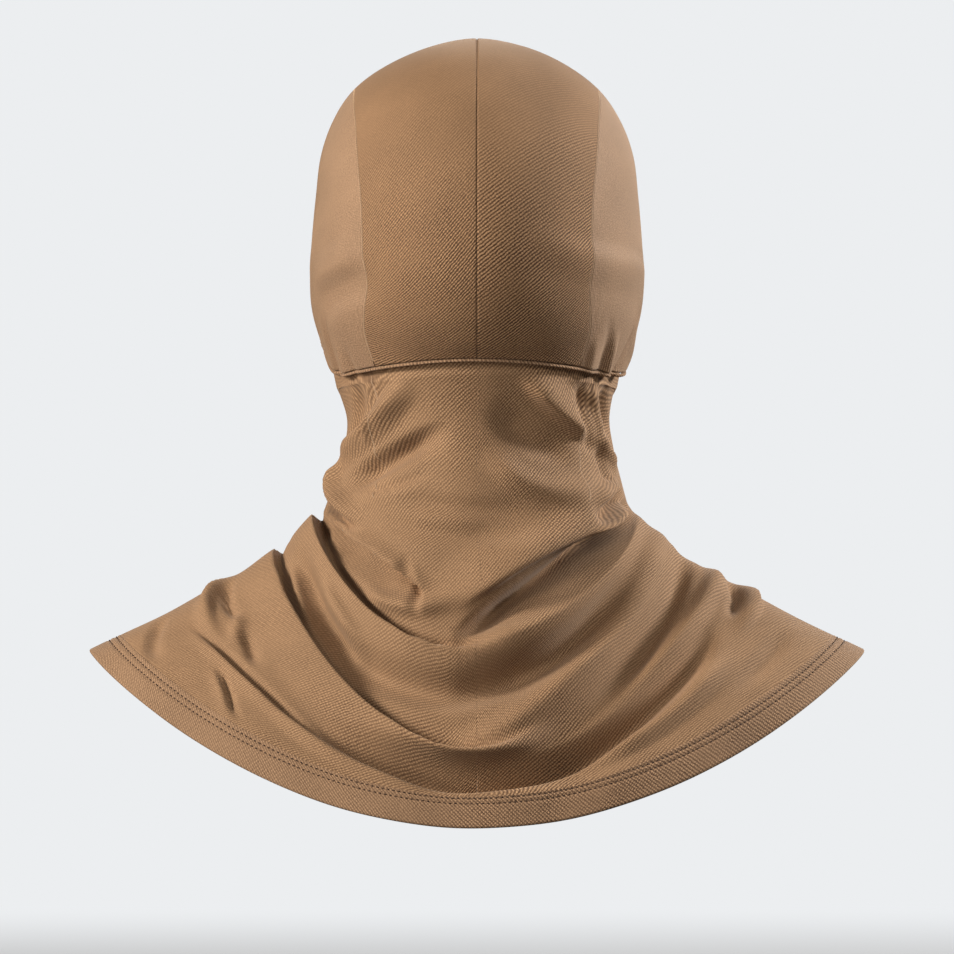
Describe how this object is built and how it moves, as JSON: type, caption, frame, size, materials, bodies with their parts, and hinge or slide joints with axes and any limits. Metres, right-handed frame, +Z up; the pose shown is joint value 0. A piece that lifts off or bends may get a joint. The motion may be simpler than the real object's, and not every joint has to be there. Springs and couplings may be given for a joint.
{
  "type": "convertible balaclava",
  "caption": "Knit balaclava: close head hood with a face opening, a neck piece that rises as a mask and spreads as a draped cape over the shoulders.",
  "frame": {"origin": "the inside of the top of the crown, where the wearer's head carries it", "axes": "+Z up, face towards -Y, back of the head towards +Y, +X to the wearer's left"},
  "size_m": [0.3736, 0.2264, 0.3786],
  "materials": {
    "twill_knit": "matte",
    "smooth_knit": "matte",
    "edge_knit": "matte"
  },
  "bodies": {
    "root": {"crown_left": "twill_knit", "crown_right": "twill_knit", "side_panel_left": "smooth_knit", "side_panel_right": "smooth_knit", "nape_welt": "edge_knit", "face_binding": "edge_knit", "bib_left": "twill_knit", "bib_right": "twill_knit", "mask_edge": "edge_knit", "hem_band": "edge_knit"}
  },
  "joints": []
}
